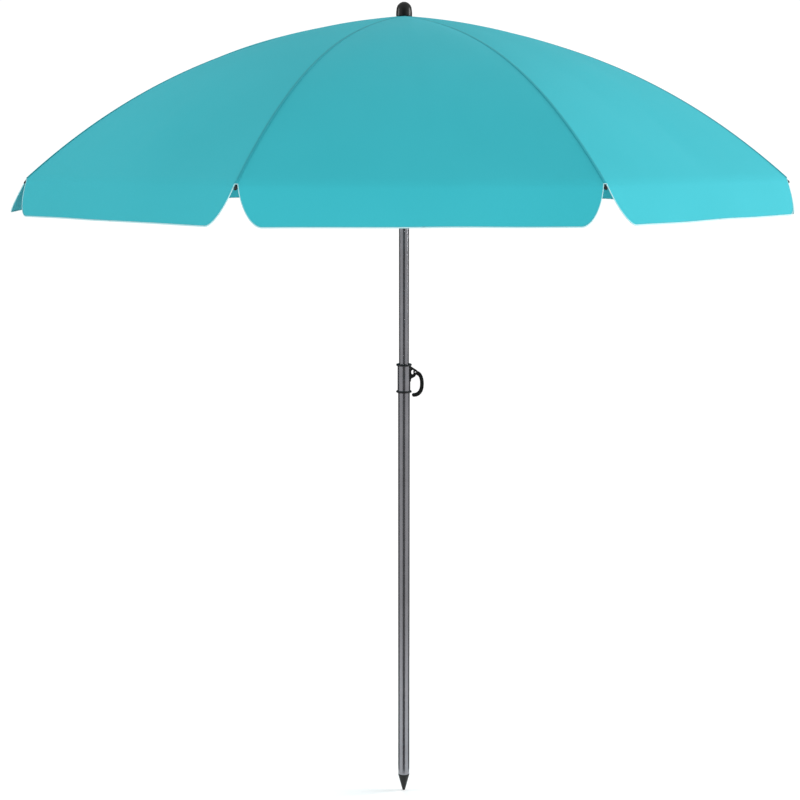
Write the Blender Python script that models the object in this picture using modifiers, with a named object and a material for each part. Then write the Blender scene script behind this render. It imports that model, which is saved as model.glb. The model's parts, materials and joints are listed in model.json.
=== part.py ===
"""Beach umbrella: a cloth canopy on eight folding ribs, on a two-part pole with a clamp and a ground spike.

Metres. The origin is the point of the ground spike and +Z runs up the pole. The clamp lever faces +X and the
middle of one canopy gore faces -Y. The umbrella stands open, with the pole at its middle height.
"""
from math import cos, hypot, pi, radians, sin, sqrt

import bmesh
import bpy
from mathutils import Matrix, Vector

# ---------------------------------------------------------------- driving dimensions
GORES = 8
CANOPY_RADIUS = 0.81          # pole axis to a canopy corner
CROWN_HEIGHT = 1.751          # top of the cloth at the pole axis
CROWN_SLOPE = 0.150           # share of the rib profile that falls in a straight line
RIB_SAG = 0.265               # share of it that curves down
RIB_CURVE = 2.72              # power of that curve
GORE_BULGE = 0.010            # how far the cloth stands above the chord between two ribs
CLOTH = 0.001
VALANCE_DEPTH = 0.078
VALANCE_FLARE = radians(24)   # from vertical
NOTCH_TOP = 0.0045            # half width of the slit between two flaps, at the rib
NOTCH_SLANT = 0.05
NOTCH_CORNER = 0.034          # how far the flap's bottom corner is rounded back

CLEARANCE = 0.0003            # between pieces that touch
RIB_RADIUS = 0.0022
RIB_BELOW_CLOTH = 0.005       # top of the cloth to the middle of a rib
STRETCHER_RADIUS = 0.0021
STRETCHER_OFFSET = 0.0056     # the stretcher's upper eye lies this far beside the rib
CLIP_AT = 0.346               # share of the canopy radius at which the stretchers hold the ribs
CLIP_DROP = 0.0075            # rib middle to stretcher pivot

UPPER_TUBE_RADIUS = 0.011
UPPER_TUBE_WALL = 0.001
UPPER_TUBE_FOOT = 0.7017
LOWER_TUBE_RADIUS = 0.013
LOWER_TUBE_WALL = 0.0012
SPIKE_LENGTH = 0.041
SPIKE_TIP_RADIUS = 0.0034
COLLAR_BOTTOM = 0.9375
COLLAR_TOP = 1.0017
COLLAR_RADIUS = 0.01425
FLANGE_RADIUS = 0.0174
FLANGE_HEIGHT = 0.0042
TUBE_IN_COLLAR = 0.0265

HINGE_RADIUS = 0.0195         # pole axis to the wire rings that the ribs and stretchers turn on
RIB_HINGE_HEIGHT = 1.7415
RUNNER_HINGE_HEIGHT = 1.4215
HUB_RADIUS = 0.0215
WIRE_RADIUS = 0.0008
RUNNER_BELOW_HINGE = 0.048

LEVER_PIVOT = Vector((0.0252, 0.0, 0.983))
HOOK_SIDE = Vector((0.0400, 0.9560))     # outermost point of the hook's middle line: (radius, height)
HOOK_TIP = Vector((0.0214, 0.9316))      # its end, under the collar
HOOK_SHOULDER = Vector((0.0285, 0.9812)) # its start, beside the pivot
HOOK_HALF_WIDTH = 0.0044
LEVER_ROOT_HALF_WIDTH = 0.0021
CHEEK_INNER = 0.0024
CHEEK_OUTER = 0.0046
RIVET_RADIUS = 0.0030
RIVET_BORE = 0.0019
WINDOW_BOTTOM = 0.9665
WINDOW_TOP = 0.9765
WINDOW_HALF_WIDTH = 0.0029

CATCH_TOP = RUNNER_HINGE_HEIGHT - RUNNER_BELOW_HINGE - 0.0005

HALF_GORE = pi / GORES
HEM_HALF = CANOPY_RADIUS * sin(HALF_GORE)
CLOTH_HOLE_SHARE = 0.0060 / CANOPY_RADIUS
# shares of the canopy radius at which both the cloth and the ribs bend
ROW_SHARES = [CLOTH_HOLE_SHARE + (1 - CLOTH_HOLE_SHARE) * (k / 8) ** 0.9 for k in range(9)]
COLLAR_SEAT = COLLAR_BOTTOM + TUBE_IN_COLLAR

# ---------------------------------------------------------------- scene and materials
for old in list(bpy.data.objects):
    bpy.data.objects.remove(old, do_unlink=True)

parts = bpy.data.collections.new("beach_umbrella")
cutters = bpy.data.collections.new("cutters")
bpy.context.scene.collection.children.link(parts)
bpy.context.scene.collection.children.link(cutters)


def material(name, colour, roughness, metallic=0.0):
    made = bpy.data.materials.new(name)
    made.use_nodes = True
    shader = made.node_tree.nodes["Principled BSDF"]
    shader.inputs["Base Color"].default_value = (*colour, 1.0)
    shader.inputs["Roughness"].default_value = roughness
    shader.inputs["Metallic"].default_value = metallic
    return made


CLOTH_LOOK = material("turquoise_cloth", (0.06, 0.46, 0.53), 0.85)
TUBE_LOOK = material("grey_coated_tube", (0.16, 0.16, 0.17), 0.35, 0.7)
FRAME_LOOK = material("galvanised_wire", (0.42, 0.43, 0.44), 0.4, 1.0)
BLACK_LOOK = material("black_plastic", (0.015, 0.015, 0.015), 0.35)
DARK_LOOK = material("dark_plastic", (0.03, 0.03, 0.033), 0.45)
STEEL_LOOK = material("dark_steel", (0.12, 0.12, 0.12), 0.35, 1.0)


# ---------------------------------------------------------------- modelling helpers
def add_part(name, data, look, parent=None):
    """An object for one piece of the umbrella, in its parent's frame."""
    made = bpy.data.objects.new(name, data)
    parts.objects.link(made)
    made.data.materials.clear()
    made.data.materials.append(look)
    made.parent = parent
    return made


def add_cutter(name, mesh):
    made = bpy.data.objects.new(name, mesh)
    cutters.objects.link(made)
    made.hide_render = True
    made.display_type = "WIRE"
    return made


def evaluated_mesh(made, name):
    """The object's shape with its modifiers, in world space, as a mesh of its own. The object is removed."""
    bpy.context.view_layer.update()
    seen = made.evaluated_get(bpy.context.evaluated_depsgraph_get())
    mesh = bpy.data.meshes.new_from_object(seen)
    mesh.name = name
    mesh.transform(made.matrix_world)
    welded = bmesh.new()
    welded.from_mesh(mesh)
    bmesh.ops.remove_doubles(welded, verts=welded.verts, dist=1e-6)
    welded.to_mesh(mesh)
    welded.free()
    bpy.data.objects.remove(made, do_unlink=True)
    return mesh


def combined(name, base, steps):
    """A mesh cut and joined with others: steps is a list of (operation, mesh)."""
    made = add_cutter(name, base)
    tools = []
    for operation, mesh in steps:
        tool = add_cutter(name + "_tool", mesh)
        change = made.modifiers.new(operation.lower(), "BOOLEAN")
        change.operation = operation
        change.solver = "EXACT"
        change.object = tool
        tools.append(tool)
    mesh = evaluated_mesh(made, name)
    for tool in tools:
        bpy.data.objects.remove(tool, do_unlink=True)
    return mesh


def shade_round(mesh, sharp=radians(40)):
    mesh.shade_smooth()
    mesh.set_sharp_from_angle(angle=sharp)
    return mesh


def turned_mesh(name, profile, closed=False, steps=24):
    """A profile of (radius, height) points, run down its outer side, turned about Z."""
    mesh = bpy.data.meshes.new(name)
    count = len(profile)
    edges = [(k, (k + 1) % count) for k in range(count if closed else count - 1)]
    mesh.from_pydata([(radius, 0.0, height) for radius, height in profile], edges, [])
    made = add_cutter(name, mesh)
    turn = made.modifiers.new("turn", "SCREW")
    turn.axis = "Z"
    turn.angle = 2 * pi
    turn.steps = steps
    turn.render_steps = steps
    turn.use_merge_vertices = True
    turn.merge_threshold = 1e-6
    return shade_round(evaluated_mesh(made, name))


def rod_mesh(name, points, radius):
    """A round bar along a path, with flat ends."""
    curve = bpy.data.curves.new(name, "CURVE")
    curve.dimensions = "3D"
    curve.bevel_depth = radius
    curve.bevel_resolution = 2
    curve.use_fill_caps = True
    spline = curve.splines.new("POLY")
    spline.points.add(len(points) - 1)
    for point, place in zip(spline.points, points):
        point.co = (*place, 1.0)
    return shade_round(evaluated_mesh(add_cutter(name, curve), name))


def plate_mesh(name, outlines, thickness):
    """Flat outlines of (x, z) points, the first one solid and the others holes, with a thickness along Y."""
    curve = bpy.data.curves.new(name, "CURVE")
    curve.dimensions = "2D"
    curve.fill_mode = "BOTH"
    curve.extrude = thickness / 2
    for outline in outlines:
        spline = curve.splines.new("POLY")
        spline.points.add(len(outline) - 1)
        for point, (across, up) in zip(spline.points, outline):
            point.co = (across, up, 0.0, 1.0)
        spline.use_cyclic_u = True
    made = add_cutter(name, curve)
    made.rotation_euler = (pi / 2, 0, 0)
    return evaluated_mesh(made, name)


def round_bar(name, radius, start, end, segments=12):
    """A closed cylinder between two points."""
    start, end = Vector(start), Vector(end)
    mesh = bpy.data.meshes.new(name)
    bar = bmesh.new()
    turn = Vector((0, 0, 1)).rotation_difference(end - start).to_matrix().to_4x4()
    bmesh.ops.create_cone(
        bar, cap_ends=True, segments=segments, radius1=radius, radius2=radius,
        depth=(end - start).length, matrix=Matrix.Translation((start + end) / 2) @ turn,
    )
    bar.to_mesh(mesh)
    bar.free()
    return mesh


def block(name, low, high):
    """A box between two corners."""
    low, high = Vector(low), Vector(high)
    mesh = bpy.data.meshes.new(name)
    box = bmesh.new()
    size = Matrix.Diagonal((*(high - low), 1.0))
    bmesh.ops.create_cube(box, size=1.0, matrix=Matrix.Translation((low + high) / 2) @ size)
    box.to_mesh(mesh)
    box.free()
    return mesh


def arc(centre, radius, start, end, count):
    """Points of an arc in a plane, from one angle to another in radians."""
    steps = [start + (end - start) * k / (count - 1) for k in range(count)]
    return [(centre[0] + radius * cos(a), centre[1] + radius * sin(a)) for a in steps]


def ring_mesh(name, major, minor, height):
    """A ring of round wire about the pole."""
    bpy.ops.mesh.primitive_torus_add(
        major_radius=major, minor_radius=minor, major_segments=24, minor_segments=5, location=(0, 0, height),
    )
    made = bpy.context.active_object
    for home in list(made.users_collection):
        home.objects.unlink(made)
    cutters.objects.link(made)
    return shade_round(evaluated_mesh(made, name), pi)


# ---------------------------------------------------------------- canopy shape
def cloth_drop(share):
    """How far the cloth over a rib lies below the crown, at a share of the canopy radius."""
    return CANOPY_RADIUS * (CROWN_SLOPE * share + RIB_SAG * share ** RIB_CURVE)


def rib_normal(share):
    """Outward radius and height of the unit vector that stands on the cloth over a rib."""
    slope = CROWN_SLOPE + RIB_SAG * RIB_CURVE * share ** (RIB_CURVE - 1)
    length = hypot(slope, 1.0)
    return slope / length, 1.0 / length


def under_cloth(share, depth):
    """A point at this depth under the cloth over a rib: (radius, height)."""
    out, up = rib_normal(share)
    return (
        CANOPY_RADIUS * share - depth * out,
        CROWN_HEIGHT - cloth_drop(share) - depth * up,
    )


def gore_point(share, across, side):
    """A point on the cloth: across runs along the chord from the rib to the middle of the gore."""
    half_chord = CANOPY_RADIUS * share * sin(HALF_GORE)
    part = across / half_chord
    bulge = GORE_BULGE * 4 * share * (1 - share) * (1 - (1 - part) ** 2)
    return Vector((
        CANOPY_RADIUS * share - across * sin(HALF_GORE),
        side * across * cos(HALF_GORE),
        CROWN_HEIGHT - cloth_drop(share) + bulge,
    ))


def flap_point(depth, across, side):
    """A point on the valance flap, at a depth below the hem."""
    out = depth * sin(VALANCE_FLARE)
    fall = Vector((out * cos(HALF_GORE), side * out * sin(HALF_GORE), -depth * cos(VALANCE_FLARE)))
    return gore_point(1.0, across, side) + fall


def notch_edge(depth):
    """Distance from the rib to the flap's side edge, which is rounded into its bottom edge."""
    rounded = 1 - sqrt(max(0.0, 1 - (depth / VALANCE_DEPTH) ** 2))
    return NOTCH_TOP + NOTCH_SLANT * depth + NOTCH_CORNER * rounded


# ---------------------------------------------------------------- lower pole
def lower_tube():
    inner = LOWER_TUBE_RADIUS - LOWER_TUBE_WALL
    bottom = SPIKE_LENGTH + CLEARANCE
    top = COLLAR_SEAT - CLEARANCE
    profile = [(LOWER_TUBE_RADIUS, top), (LOWER_TUBE_RADIUS, bottom), (inner, bottom), (inner, top)]
    add_part("lower_tube", turned_mesh("lower_tube", profile, closed=True), TUBE_LOOK)


def ground_spike():
    stem = LOWER_TUBE_RADIUS - LOWER_TUBE_WALL - CLEARANCE
    stem_top = SPIKE_LENGTH + 0.034
    edge = 0.001
    profile = [
        (0.0, stem_top), (stem - edge, stem_top), (stem, stem_top - edge), (stem, SPIKE_LENGTH),
        (LOWER_TUBE_RADIUS - edge / 2, SPIKE_LENGTH), (LOWER_TUBE_RADIUS, SPIKE_LENGTH - edge / 2),
        (LOWER_TUBE_RADIUS, SPIKE_LENGTH - 3 * edge),
        (SPIKE_TIP_RADIUS, 1.6 * edge), (SPIKE_TIP_RADIUS - 0.6 * edge, 0.4 * edge),
        (SPIKE_TIP_RADIUS - 1.4 * edge, 0.0), (0.0, 0.0),
    ]
    add_part("ground_spike", turned_mesh("ground_spike", profile), BLACK_LOOK)


def flange_profile(bottom, bore):
    """A thin flange with a chamfered rim."""
    top = bottom + FLANGE_HEIGHT
    rim = FLANGE_RADIUS - 0.0012
    return [
        (rim, top), (FLANGE_RADIUS, top - 0.0012), (FLANGE_RADIUS, bottom + 0.0012), (rim, bottom),
        (bore, bottom), (bore, top),
    ]


def shoe_window():
    """The opening in the side of the collar through which the shoe reaches the upper tube."""
    inner, outer = UPPER_TUBE_RADIUS - UPPER_TUBE_WALL, FLANGE_RADIUS + 0.003
    return block(
        "shoe_window", (inner, -WINDOW_HALF_WIDTH, WINDOW_BOTTOM), (outer, WINDOW_HALF_WIDTH, WINDOW_TOP)
    )


def collar():
    shell_bottom = COLLAR_BOTTOM + FLANGE_HEIGHT + CLEARANCE
    flange_bottom = COLLAR_TOP - FLANGE_HEIGHT
    shell_top = flange_bottom - CLEARANCE
    over_tube = LOWER_TUBE_RADIUS + CLEARANCE
    bush_bore = UPPER_TUBE_RADIUS + CLEARANCE
    bush_radius = bush_bore + 0.001
    bush_bottom = COLLAR_TOP - 0.0207
    shell = turned_mesh("collar_shell", [
        (COLLAR_RADIUS, shell_top), (COLLAR_RADIUS, shell_bottom), (over_tube, shell_bottom),
        (over_tube, COLLAR_SEAT), (bush_radius + CLEARANCE, COLLAR_SEAT), (bush_radius + CLEARANCE, shell_top),
    ], closed=True)
    shell = combined("collar_shell", shell, [("DIFFERENCE", shoe_window())])
    add_part("collar_shell", shade_round(shell), TUBE_LOOK)
    ring = turned_mesh("collar_bottom_ring", flange_profile(COLLAR_BOTTOM, over_tube), closed=True)
    add_part("collar_bottom_ring", ring, DARK_LOOK)
    rim, _, low_rim, low = flange_profile(flange_bottom, bush_bore)[:4]
    bush = turned_mesh("collar_bush", [
        rim, (FLANGE_RADIUS, COLLAR_TOP - 0.0012), low_rim, low,
        (bush_radius, flange_bottom), (bush_radius, bush_bottom), (bush_bore, bush_bottom), (bush_bore, COLLAR_TOP),
    ], closed=True)
    add_part("collar_bush", bush, DARK_LOOK)


def lever_bracket():
    """A curved saddle on the collar with two cheeks that carry the rivet, and a lanyard eye through the cheeks."""
    pivot = (LEVER_PIVOT.x, LEVER_PIVOT.z)
    saddle_inner = COLLAR_RADIUS + CLEARANCE
    saddle_outer = saddle_inner + 0.0012
    low, high = WINDOW_BOTTOM - 0.004, COLLAR_TOP - FLANGE_HEIGHT - 0.0006
    root = saddle_inner + 0.0004
    cheek = [(root, WINDOW_BOTTOM + 0.0007), (root, high - 0.001)]
    cheek += arc(pivot, 0.0052, radians(52), radians(-112), 7)
    eye_half_width, eye_stretch = 0.0029, 1.9
    eye = [(x - 0.0063, pivot[1] + z * eye_stretch) for x, z in
           arc((pivot[0], 0), eye_half_width, 0, 2 * pi * 11 / 12, 12)]
    rivet_hole = arc(pivot, RIVET_RADIUS + CLEARANCE, 0, 2 * pi * 11 / 12, 12)
    cheeks = plate_mesh("cheeks", [cheek, eye, rivet_hole], 2 * CHEEK_OUTER)
    span = radians(32)
    saddle_line = arc((0, 0), saddle_outer, -span, span, 6) + arc((0, 0), saddle_inner, span, -span, 6)
    saddle = plate_mesh("saddle", [saddle_line], high - low)
    saddle.transform(Matrix.Translation((0, 0, (low + high) / 2)) @ Matrix.Rotation(-pi / 2, 4, "X"))
    slot = block("slot", (saddle_outer + CLEARANCE, -CHEEK_INNER, low), (HOOK_SIDE.x, CHEEK_INNER, high))
    bracket = combined("lever_bracket", cheeks, [
        ("DIFFERENCE", slot), ("UNION", saddle), ("DIFFERENCE", shoe_window()),
    ])
    add_part("lever_bracket", shade_round(bracket), BLACK_LOOK)


def lever_rivet():
    """A hollow rivet along Y, with a low head on each cheek."""
    head, head_radius = 0.0007, 0.0042
    inside = CHEEK_OUTER + CLEARANCE
    rivet = turned_mesh("lever_rivet", [
        (head_radius, inside + head), (head_radius, inside), (RIVET_RADIUS, inside), (RIVET_RADIUS, -inside),
        (head_radius, -inside), (head_radius, -inside - head), (RIVET_BORE, -inside - head),
        (RIVET_BORE, inside + head),
    ], closed=True, steps=12)
    rivet.transform(Matrix.Translation(LEVER_PIVOT) @ Matrix.Rotation(pi / 2, 4, "X"))
    add_part("lever_rivet", rivet, STEEL_LOOK)


def bezier(start, first, second, end, share):
    """A point and the direction of travel on a cubic curve."""
    rest = 1 - share
    point = start * rest ** 3 + 3 * first * rest ** 2 * share + 3 * second * rest * share ** 2 + end * share ** 3
    travel = (first - start) * rest ** 2 + 2 * (second - first) * rest * share + (end - second) * share ** 2
    return point, travel.normalized()


def hook_outline():
    """The C-shaped handle: a bowed strip that hangs from the pivot and curls back under the collar."""
    root_half, tip_half, steps = 0.0043, 0.0037, 6
    shoulder = (HOOK_SHOULDER, HOOK_SHOULDER + Vector((0.0090, -0.0022)), HOOK_SIDE + Vector((0, 0.0120)), HOOK_SIDE)
    curl = (HOOK_SIDE, HOOK_SIDE - Vector((0, 0.0160)), HOOK_TIP + Vector((0.0116, 0)), HOOK_TIP)
    middle = [bezier(*shoulder, k / steps) for k in range(steps)] + [bezier(*curl, k / steps) for k in range(steps + 1)]
    outer, inner = [], []
    for k, (point, travel) in enumerate(middle):
        half = root_half + (tip_half - root_half) * k / (len(middle) - 1)
        away = Vector((-travel.y, travel.x)) * half
        outer.append(point + away)
        inner.append(point - away)
    across = outer[-1] - HOOK_TIP
    ahead = Vector((-tip_half, 0))
    nose = [HOOK_TIP + ahead * sin(a) + across * cos(a) for a in (pi / 4, pi / 2, 3 * pi / 4)]
    return [tuple(p) for p in outer + nose + inner[::-1]]


def clamp_lever():
    """The C-shaped handle with an eye on the rivet and a heel that presses on the brake shoe."""
    pivot = (LEVER_PIVOT.x, LEVER_PIVOT.z)
    handle = plate_mesh("handle", [hook_outline()], 2 * HOOK_HALF_WIDTH)
    past = 2 * CHEEK_OUTER
    relief = round_bar("relief", 0.0057, (pivot[0], -past, pivot[1]), (pivot[0], past, pivot[1]), 24)
    thin, step = 2 * LEVER_ROOT_HALF_WIDTH, 0.0001
    eye = plate_mesh("eye", [arc(pivot, 0.0048, 0, 2 * pi * 15 / 16, 16)], thin)
    neck = plate_mesh("neck", [[
        (pivot[0] + 0.001, pivot[1] + 0.0045), (pivot[0] + 0.0085, pivot[1] + 0.0005),
        (pivot[0] + 0.0075, pivot[1] - 0.0055), (pivot[0] + 0.001, pivot[1] - 0.0045),
    ]], thin - step)
    heel_face = COLLAR_RADIUS + 0.0019
    heel = plate_mesh("heel", [[
        (heel_face, WINDOW_TOP - 0.0023), (pivot[0] - 0.003, pivot[1] - 0.0030),
        (pivot[0] + 0.0035, pivot[1] - 0.0025), (pivot[0] - 0.0005, pivot[1] - 0.0098),
        (heel_face + 0.0015, WINDOW_BOTTOM + 0.0025), (heel_face, WINDOW_BOTTOM + 0.0035),
    ]], thin - 2 * step)
    hole = round_bar("hole", RIVET_RADIUS + CLEARANCE, (pivot[0], -past, pivot[1]), (pivot[0], past, pivot[1]))
    lever = combined("clamp_lever", handle, [
        ("DIFFERENCE", relief), ("UNION", eye), ("UNION", neck), ("UNION", heel), ("DIFFERENCE", hole),
    ])
    lever.transform(Matrix.Translation(-LEVER_PIVOT))
    made = add_part("clamp_lever", shade_round(lever), BLACK_LOOK)
    made.location = LEVER_PIVOT


def clamp_shoe():
    """A small block in the collar's window. Its inner face follows the upper tube."""
    gap = CLEARANCE
    shoe = block(
        "clamp_shoe",
        (0.0085, -WINDOW_HALF_WIDTH + gap, WINDOW_BOTTOM + gap),
        (COLLAR_RADIUS + 0.0016, WINDOW_HALF_WIDTH - gap, WINDOW_TOP - gap),
    )
    tube = round_bar("tube_space", UPPER_TUBE_RADIUS + gap, (0, 0, COLLAR_BOTTOM), (0, 0, COLLAR_TOP), 48)
    add_part("clamp_shoe", combined("clamp_shoe", shoe, [("DIFFERENCE", tube)]), DARK_LOOK)


# ---------------------------------------------------------------- upper pole
def upper_tube():
    inner = UPPER_TUBE_RADIUS - UPPER_TUBE_WALL
    top = RIB_HINGE_HEIGHT - 0.0088
    tube = turned_mesh("upper_tube", [
        (UPPER_TUBE_RADIUS, top), (UPPER_TUBE_RADIUS, UPPER_TUBE_FOOT), (inner, UPPER_TUBE_FOOT), (inner, top),
    ], closed=True)
    slot = block("catch_slot", (0.005, -0.0018, CATCH_TOP - 0.0215), (0.015, 0.0018, CATCH_TOP + 0.0003))
    add_part("upper_tube", shade_round(combined("upper_tube", tube, [("DIFFERENCE", slot)])), TUBE_LOOK)
    guide = LOWER_TUBE_RADIUS - LOWER_TUBE_WALL - CLEARANCE
    stem = inner - CLEARANCE
    shoulder = UPPER_TUBE_FOOT - CLEARANCE
    foot = turned_mesh("tube_foot", [
        (0.0, shoulder + 0.022), (stem, shoulder + 0.022), (stem, shoulder), (guide, shoulder),
        (guide, shoulder - 0.010), (guide - 0.0015, shoulder - 0.0115), (0.0, shoulder - 0.0115),
    ])
    add_part("tube_foot", foot, DARK_LOOK)


def notched(name, mesh, depth_radius, half_width, low, high):
    """Cuts one radial slot for each rib through a rim."""
    cuts = []
    for k in range(GORES):
        slot = block(name + "_slot", (depth_radius, -half_width, low), (0.03, half_width, high))
        slot.transform(Matrix.Rotation((2 * k + 1) * HALF_GORE, 4, "Z"))
        cuts.append(("DIFFERENCE", slot))
    return shade_round(combined(name, mesh, cuts))


def wire_groove(height):
    """The groove for a wire ring, in a rim of the hub's radius, down the outer side."""
    floor = HINGE_RADIUS - WIRE_RADIUS - 0.0006
    half = WIRE_RADIUS + 0.0004
    return [(HUB_RADIUS, height + half), (floor, height + half), (floor, height - half), (HUB_RADIUS, height - half)]


def crown():
    """The notched hub that holds the ribs, its wire ring, the washer and the cap over the cloth."""
    disc_top, disc_bottom = RIB_HINGE_HEIGHT + 0.0044, RIB_HINGE_HEIGHT - 0.0085
    stud, stem = 0.004, UPPER_TUBE_RADIUS - UPPER_TUBE_WALL - CLEARANCE
    hub = turned_mesh("crown_hub", [
        (0.0, CROWN_HEIGHT + 0.017), (stud - 0.0006, CROWN_HEIGHT + 0.017), (stud, CROWN_HEIGHT + 0.0164),
        (stud, disc_top + 0.0003), (HUB_RADIUS - 0.001, disc_top), (HUB_RADIUS, disc_top - 0.0005),
        *wire_groove(RIB_HINGE_HEIGHT),
        (HUB_RADIUS, disc_bottom + 0.001), (HUB_RADIUS - 0.001, disc_bottom), (stem, disc_bottom),
        (stem, disc_bottom - 0.026), (0.0, disc_bottom - 0.026),
    ], steps=16)
    hub = notched("crown_hub", hub, 0.0145, RIB_RADIUS + 0.0005, disc_bottom - 0.001, disc_top + 0.001)
    add_part("crown_hub", hub, BLACK_LOOK)
    add_part("crown_wire", ring_mesh("crown_wire", HINGE_RADIUS, WIRE_RADIUS, RIB_HINGE_HEIGHT), FRAME_LOOK)
    washer_bottom = CROWN_HEIGHT + CLEARANCE
    washer = turned_mesh("crown_washer", [
        (0.0138, washer_bottom + 0.001), (0.0138, washer_bottom), (0.0045, washer_bottom),
        (0.0045, washer_bottom + 0.001),
    ], closed=True, steps=16)
    add_part("crown_washer", washer, DARK_LOOK)
    rim_radius, rim_inner = 0.0171, 0.0145
    rim_bottom = CROWN_HEIGHT - 0.0012
    underside = washer_bottom + 0.001 + CLEARANCE
    dome_base, dome_height = CROWN_HEIGHT + 0.012, 0.0172
    dome = [
        (rim_radius * 0.965 * sin(a), dome_base + dome_height * cos(a))
        for a in (radians(15 * k) for k in range(7))
    ]
    cap = turned_mesh("finial_cap", [
        *dome, (rim_radius, dome_base - 0.006), (rim_radius, rim_bottom + 0.0008),
        (rim_radius - 0.0008, rim_bottom), (rim_inner, rim_bottom), (rim_inner, underside),
        (stud + 0.0004, underside), (stud + 0.0004, CROWN_HEIGHT + 0.018), (0.0, CROWN_HEIGHT + 0.018),
    ])
    add_part("finial_cap", cap, BLACK_LOOK)


def runner_catch():
    """A leaf with a nose that stands out of the upper tube under the runner."""
    inside, leaf = 0.0050, 0.0068
    outline = [
        (inside, CATCH_TOP - 0.040), (leaf, CATCH_TOP - 0.040), (leaf, CATCH_TOP - 0.024),
        (0.0095, CATCH_TOP - 0.0205), (0.0155, CATCH_TOP - 0.0035), (0.0155, CATCH_TOP), (inside, CATCH_TOP),
    ]
    add_part("runner_catch", plate_mesh("runner_catch", [outline], 0.0026), STEEL_LOOK)


# ---------------------------------------------------------------- runner
def runner():
    """The sleeve that slides on the upper tube, with the notched rim that holds the stretchers."""
    bore, sleeve = UPPER_TUBE_RADIUS + 0.00035, 0.0141
    top = RUNNER_HINGE_HEIGHT + 0.0075
    rim_top, rim_bottom = RUNNER_HINGE_HEIGHT + 0.0060, RUNNER_HINGE_HEIGHT - 0.0065
    bottom = RUNNER_HINGE_HEIGHT - RUNNER_BELOW_HINGE
    grip = 0.0185
    mesh = turned_mesh("runner", [
        (sleeve, top), (sleeve, rim_top), (HUB_RADIUS - 0.001, rim_top), (HUB_RADIUS, rim_top - 0.001),
        *wire_groove(RUNNER_HINGE_HEIGHT),
        (HUB_RADIUS, rim_bottom + 0.001), (HUB_RADIUS - 0.001, rim_bottom), (sleeve, rim_bottom - 0.004),
        (sleeve, bottom + 0.010), (grip, bottom + 0.004), (grip, bottom + 0.001), (grip - 0.001, bottom),
        (bore, bottom), (bore, top),
    ], closed=True, steps=16)
    mesh = notched("runner", mesh, 0.0150, STRETCHER_RADIUS + 0.0006, rim_bottom - 0.005, rim_top + 0.001)
    add_part("runner", mesh, BLACK_LOOK)
    add_part("runner_wire", ring_mesh("runner_wire", HINGE_RADIUS, WIRE_RADIUS, RUNNER_HINGE_HEIGHT), FRAME_LOOK)


# ---------------------------------------------------------------- folding frame
def wire_hole(name, half_length):
    return round_bar(name, WIRE_RADIUS + 0.0005, (0, -half_length, 0), (0, half_length, 0), 8)


def rib_mesh():
    """A rib from its eye on the crown wire to the canopy corner, in the frame of its hinge."""
    path = [(-0.0028, 0.0, 0.0), (0.006, 0.0, 0.0)]
    for share in ROW_SHARES[1:]:
        radius, height = under_cloth(share, RIB_BELOW_CLOTH)
        path.append((radius - HINGE_RADIUS, 0.0, height - RIB_HINGE_HEIGHT))
    rod = rod_mesh("rib", path, RIB_RADIUS)
    return shade_round(combined("rib", rod, [("DIFFERENCE", wire_hole("rib_eye", 0.004))]))


def rib_place(share):
    """Where the rib's straight stretch passes a share of the radius: (radius, height, direction along the rib)."""
    last = next(k for k in range(1, len(ROW_SHARES)) if ROW_SHARES[k] >= share)
    start = Vector(under_cloth(ROW_SHARES[last - 1], RIB_BELOW_CLOTH))
    end = Vector(under_cloth(ROW_SHARES[last], RIB_BELOW_CLOTH))
    part = (share - ROW_SHARES[last - 1]) / (ROW_SHARES[last] - ROW_SHARES[last - 1])
    return (*start.lerp(end, part), (end - start).normalized())


def on_rib(share):
    """A frame in the rib's hinge frame: origin on the rib, X along it and Z towards the cloth."""
    radius, height, (out, up) = rib_place(share)
    along, above = Vector((out, 0, up)), Vector((-up, 0, out))
    turn = Matrix((along, Vector((0, 1, 0)), above)).transposed().to_4x4()
    return Matrix.Translation((radius - HINGE_RADIUS, 0, height - RIB_HINGE_HEIGHT)) @ turn


def rib_tip_mesh():
    """A cap over the end of the rib, with a rounded nose."""
    bore, outer, nose = RIB_RADIUS + CLEARANCE, 0.0030, 0.0095
    tip = turned_mesh("rib_tip", [
        (0.0, nose), (0.0022, nose - 0.0009), (outer, nose - 0.0030),
        (outer, -0.0075), (bore, -0.0075), (bore, CLEARANCE), (0.0, CLEARANCE),
    ], steps=8)
    tip.transform(on_rib(1.0) @ Matrix.Rotation(pi / 2, 4, "Y"))
    return tip


def stretcher_pivot():
    """The stretcher's upper pivot under the rib: (radius, height)."""
    radius, height, (out, up) = rib_place(CLIP_AT)
    return radius + CLIP_DROP * up, height - CLIP_DROP * out


def rib_clip_mesh():
    """A sleeve on the rib with a lug below it and a stub pin beside the lug."""
    sleeve = round_bar("clip_sleeve", 0.0034, (-0.007, 0, 0), (0.007, 0, 0), 10)
    bore = round_bar("clip_bore", RIB_RADIUS + 2 * CLEARANCE, (-0.01, 0, 0), (0.01, 0, 0), 8)
    lug_line = [(-0.0045, 0.0), (0.0045, 0.0)] + arc((0, -CLIP_DROP), 0.0032, 0, -pi, 6)
    lug = plate_mesh("clip_lug", [lug_line], 0.0028)
    pin_end = STRETCHER_OFFSET - 0.0011 - CLEARANCE
    pin = round_bar("clip_pin", 0.0018, (0, 0.0010, -CLIP_DROP), (0, pin_end, -CLIP_DROP), 6)
    clip = combined("rib_clip", sleeve, [("UNION", lug), ("UNION", pin), ("DIFFERENCE", bore)])
    clip.transform(on_rib(CLIP_AT))
    return shade_round(clip)


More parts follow.
